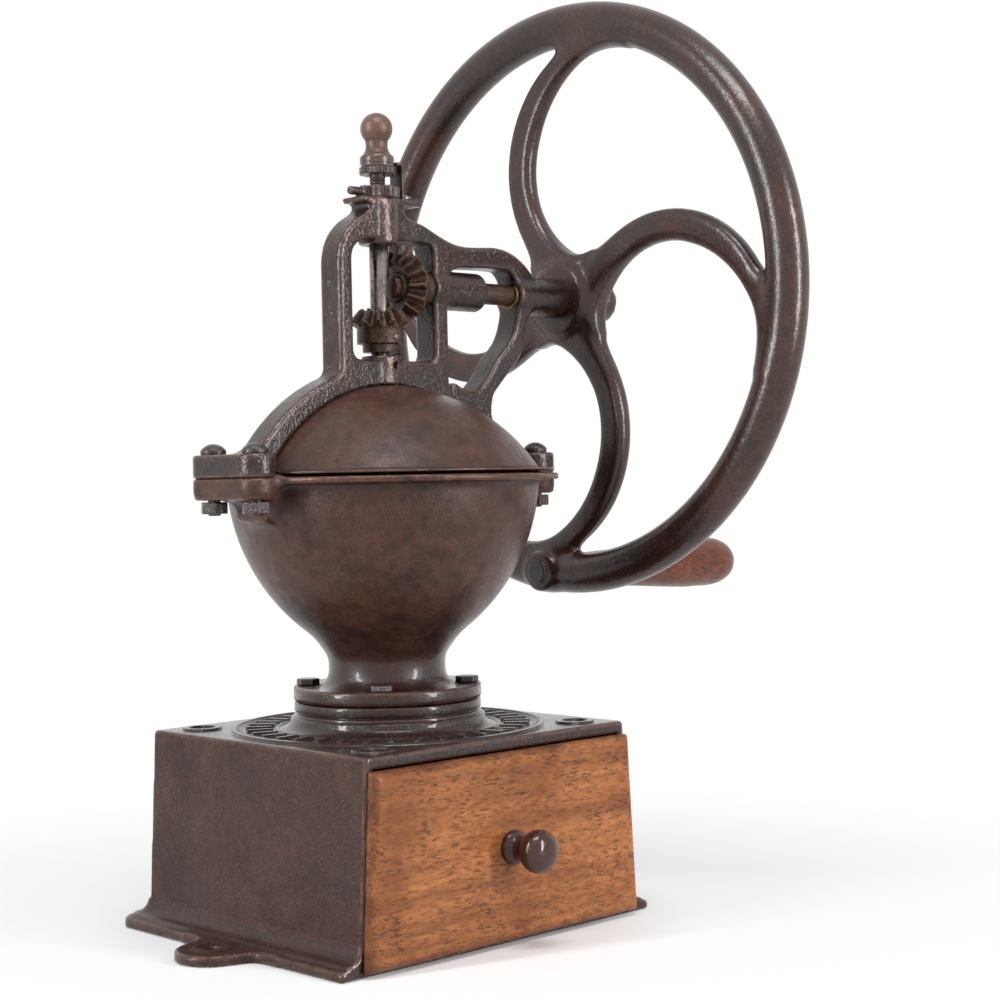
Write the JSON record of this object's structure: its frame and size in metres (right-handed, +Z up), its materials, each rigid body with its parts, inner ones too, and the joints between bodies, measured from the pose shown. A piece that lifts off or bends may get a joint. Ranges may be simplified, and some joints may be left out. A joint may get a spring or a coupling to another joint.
{
  "type": "counter coffee mill",
  "caption": "Hand-turned counter mill: cast casing with drawer, bowl hopper under a domed swing lid, arched bridge, bevel gears and a spoked flywheel with a grip.",
  "frame": {"origin": "on the spindle's axis, at the level of the surface that the casing stands on", "axes": "+X along the drive shaft towards the flywheel, -Y towards the drawer's front, +Z up along the spindle"},
  "size_m": [0.4464, 0.3472, 0.5162],
  "materials": {
    "cast_iron": "dark brown patina on sand-cast iron, oiled, satin",
    "cast_iron_dark": "near-black oiled iron with a fine sand-cast grain",
    "cast_iron_worn": "iron polished by hands, soft satin shine",
    "tool_steel": "ground and cut steel, dull",
    "steel": "worn bare steel with brown stains",
    "gear_iron": "cast teeth with old brown grease",
    "bronze": "worn bearing bronze",
    "turned_wood": "turned hardwood, dark red-brown, polished by use",
    "drawer_wood": "oiled hardwood, warm orange-brown with fine dark pores"
  },
  "bodies": {
    "frame": {"base_casing": "cast_iron", "burr_housing": "cast_iron_dark", "burr_ring": "tool_steel", "lower_bridge": "cast_iron_dark", "lower_bridge_screws": "steel", "lower_bush": "bronze", "lift_spring": "steel", "hopper": "cast_iron", "flange_bolts": "cast_iron_dark", "lid_rear": "cast_iron", "bridge_frame": "cast_iron_dark", "bridge_bolts": "cast_iron_dark", "bridge_nuts": "cast_iron_dark", "spindle_bush": "bronze", "top_bush": "bronze", "shaft_bush_inner": "bronze", "shaft_bush_outer": "bronze", "lock_nut": "cast_iron_dark", "index_spring": "cast_iron_dark", "index_spring_screw": "steel"},
    "drive": {"flywheel": "cast_iron_worn", "flywheel_pin": "steel", "drive_shaft": "steel", "bevel_gear": "gear_iron", "gear_pin": "steel", "handle_bolt": "cast_iron_dark", "grip_washer": "cast_iron_dark"},
    "grip": {"handle_grip": "turned_wood"},
    "thrust": {"thrust_ball": "steel"},
    "adjuster": {"adjusting_screw": "steel", "index_ring": "steel", "adjuster_knob": "cast_iron_worn"},
    "spindle": {"spindle": "steel", "pinion": "gear_iron", "pinion_pin": "steel", "auger": "tool_steel", "burr_cone": "tool_steel"},
    "lid": {"lid_front": "cast_iron"},
    "drawer": {"drawer_front": "drawer_wood", "drawer_side_left": "drawer_wood", "drawer_side_right": "drawer_wood", "drawer_back": "drawer_wood", "drawer_bottom": "drawer_wood", "drawer_knob": "turned_wood", "drawer_knob_screw": "steel"}
  },
  "joints": [
    {"name": "wheel_spin", "type": "hinge", "parent": "frame", "child": "drive", "pos_m": [0.1475, 0, 0.3426], "axis": [1, 0, 0], "continuous": true},
    {"name": "grip_spin", "type": "hinge", "parent": "drive", "child": "grip", "pos_m": [0.2, 0.01693, 0.18149], "axis": [1, 0, 0], "continuous": true},
    {"name": "adjuster_travel", "type": "slide", "parent": "frame", "child": "thrust", "axis": [0, 0, 1], "range_m": [-0.0015, 0], "deforming": ["lift_spring"]},
    {"name": "adjuster_turn", "type": "hinge", "parent": "thrust", "child": "adjuster", "pos_m": [0, 0, 0.4], "axis": [0, 0, 1], "range_deg": [0, 360]},
    {"name": "spindle_spin", "type": "hinge", "parent": "thrust", "child": "spindle", "pos_m": [0, 0, 0.2], "axis": [0, 0, 1], "continuous": true},
    {"name": "lid_swing", "type": "hinge", "parent": "frame", "child": "lid", "pos_m": [0, 0, 0.26], "axis": [0, 0, 1], "range_deg": [0, 168]},
    {"name": "drawer_slide", "type": "slide", "parent": "frame", "child": "drawer", "axis": [0, -1, 0], "range_m": [0, 0.14]}
  ],
  "couplings": [
    {"joint": "spindle_spin", "follows": "wheel_spin", "ratio": 1.3333},
    {"joint": "adjuster_turn", "follows": "adjuster_travel", "rad_per_m": -4188.8}
  ]
}
